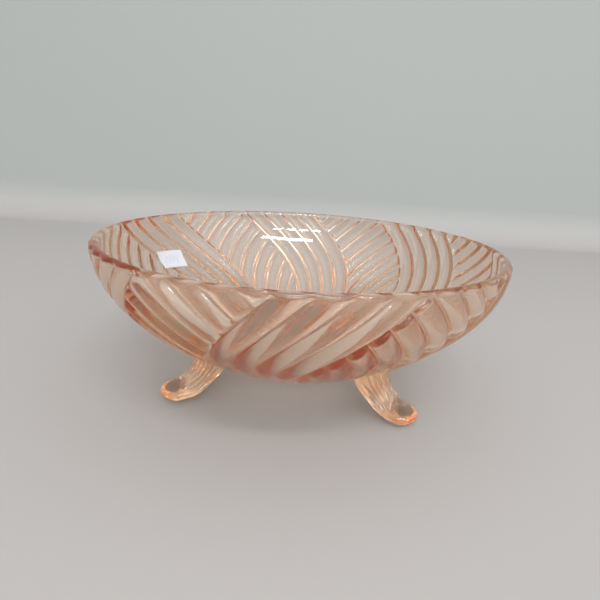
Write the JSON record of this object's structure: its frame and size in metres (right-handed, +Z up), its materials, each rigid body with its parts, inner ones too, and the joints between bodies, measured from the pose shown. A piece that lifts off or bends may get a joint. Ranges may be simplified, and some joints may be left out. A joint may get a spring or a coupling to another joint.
{
  "type": "three-footed glass bowl",
  "caption": "Round pressed-glass bowl in pale pink with crossing bands of moulded swirl ribs, standing on splayed feet with rounded toes, and a small blank paper price label inside.",
  "frame": {"origin": "on the table plane, under the middle of the bowl", "axes": "+Z up along the bowl's axis, -Y towards the front, where the left and right feet are, and +X to the right"},
  "size_m": [0.21, 0.21, 0.086],
  "materials": {
    "bowl_glass": "clear pale pink pressed glass, fire-polished",
    "foot_glass": "clear pale pink pressed glass, fire-polished",
    "label_paper": "matt white paper"
  },
  "bodies": {
    "root": {"bowl": "bowl_glass", "foot_left": "foot_glass", "foot_right": "foot_glass", "foot_rear": "foot_glass", "price_label": "label_paper"}
  },
  "joints": []
}
